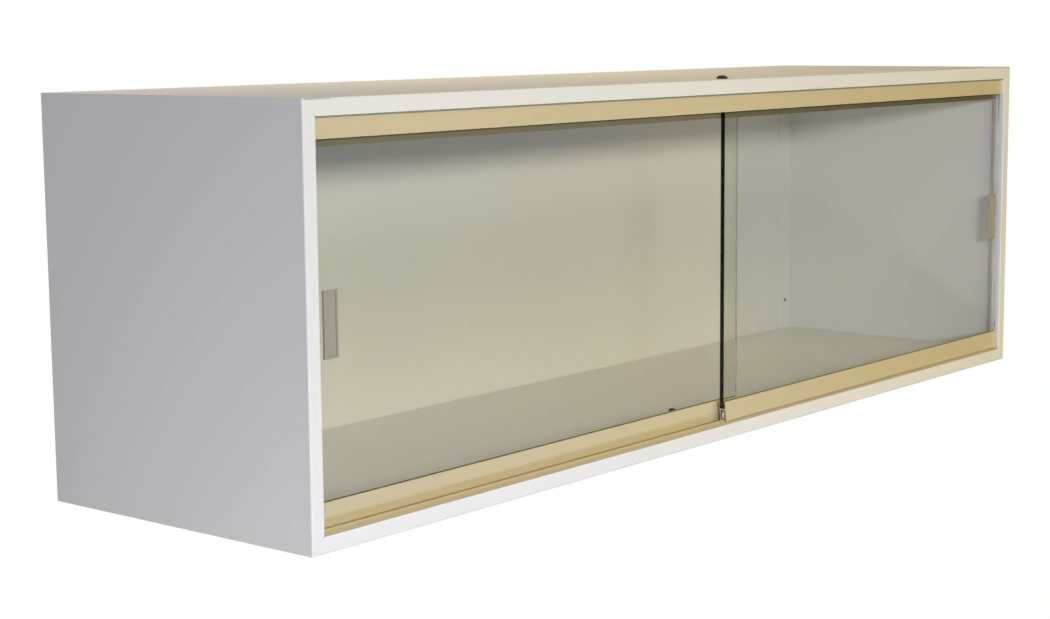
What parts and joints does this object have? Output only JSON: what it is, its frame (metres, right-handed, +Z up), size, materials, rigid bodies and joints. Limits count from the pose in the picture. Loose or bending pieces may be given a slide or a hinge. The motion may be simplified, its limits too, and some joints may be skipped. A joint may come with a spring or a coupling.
{
  "type": "wall mounted showcase",
  "caption": "Wall mounted display case of folded sheet steel with by-passing glass doors that roll on an aluminium track.",
  "frame": {"origin": "on the wall plane at the middle of the row of four wall-screw holes in the hanging rail, on the case's left-right centre", "axes": "+X to the right seen from the front, +Y back into the wall, +Z up"},
  "size_m": [1.524, 0.4064, 0.4617],
  "materials": {
    "white_powder_coat": "white powder coat with a fine orange-peel texture, satin",
    "gold_anodised": "pale gold anodised, fine lengthwise grain, satin",
    "clear_glass": "clear float glass with polished edges",
    "black_plastic": "black moulded plastic, satin",
    "grey_vinyl": "dark flexible vinyl, matt",
    "zinc_steel": "zinc plated steel, satin",
    "white_nylon": "natural white nylon, satin",
    "anodised_pull": "pale champagne anodised, satin",
    "black_rubber": "black rubber foam, matt"
  },
  "bodies": {
    "case": {"top_panel": "white_powder_coat", "bottom_panel": "white_powder_coat", "left_side_panel": "white_powder_coat", "right_side_panel": "white_powder_coat", "back_panel": "white_powder_coat", "deck_panel": "white_powder_coat", "header_channel": "white_powder_coat", "left_corner_post": "white_powder_coat", "right_corner_post": "white_powder_coat", "hanging_rail": "zinc_steel", "upper_track": "gold_anodised", "lower_track": "gold_anodised", "upper_track_screws": "zinc_steel", "lower_track_screws": "zinc_steel", "post_rivets": "white_powder_coat", "door_bumpers": "black_rubber", "top_cap": "black_plastic", "deck_plug": "black_plastic"},
    "left_door": {"left_glass": "clear_glass", "left_shoe": "gold_anodised", "left_glazing_strip": "grey_vinyl", "left_finger_pull": "anodised_pull", "left_pull_tape": "black_rubber", "left_outer_roller_bracket": "zinc_steel", "left_outer_axle": "zinc_steel", "left_inner_roller_bracket": "zinc_steel", "left_inner_axle": "zinc_steel"},
    "right_door": {"right_glass": "clear_glass", "right_shoe": "gold_anodised", "right_glazing_strip": "grey_vinyl", "right_finger_pull": "anodised_pull", "right_pull_tape": "black_rubber", "right_outer_roller_bracket": "zinc_steel", "right_outer_axle": "zinc_steel", "right_inner_roller_bracket": "zinc_steel", "right_inner_axle": "zinc_steel"},
    "left_outer_roller": {"left_outer_wheel": "white_nylon"},
    "left_inner_roller": {"left_inner_wheel": "white_nylon"},
    "right_outer_roller": {"right_outer_wheel": "white_nylon"},
    "right_inner_roller": {"right_inner_wheel": "white_nylon"}
  },
  "joints": [
    {"name": "left_door_slide", "type": "slide", "parent": "case", "child": "left_door", "axis": [1, 0, 0], "range_m": [-0.012, 0.713]},
    {"name": "right_door_slide", "type": "slide", "parent": "case", "child": "right_door", "axis": [-1, 0, 0], "range_m": [0, 0.725]},
    {"name": "left_outer_roller_spin", "type": "hinge", "parent": "left_door", "child": "left_outer_roller", "pos_m": [-0.72, -0.3819, -0.4037], "axis": [0, 1, 0], "continuous": true},
    {"name": "left_inner_roller_spin", "type": "hinge", "parent": "left_door", "child": "left_inner_roller", "pos_m": [0.019, -0.3819, -0.4037], "axis": [0, 1, 0], "continuous": true},
    {"name": "right_outer_roller_spin", "type": "hinge", "parent": "right_door", "child": "right_outer_roller", "pos_m": [0.732, -0.3962, -0.4037], "axis": [0, 1, 0], "continuous": true},
    {"name": "right_inner_roller_spin", "type": "hinge", "parent": "right_door", "child": "right_inner_roller", "pos_m": [-0.007, -0.3962, -0.4037], "axis": [0, 1, 0], "continuous": true}
  ],
  "couplings": [
    {"joint": "left_outer_roller_spin", "follows": "left_door_slide", "rad_per_m": 188.68},
    {"joint": "left_inner_roller_spin", "follows": "left_door_slide", "rad_per_m": 188.68},
    {"joint": "right_outer_roller_spin", "follows": "right_door_slide", "rad_per_m": -188.68},
    {"joint": "right_inner_roller_spin", "follows": "right_door_slide", "rad_per_m": -188.68}
  ]
}
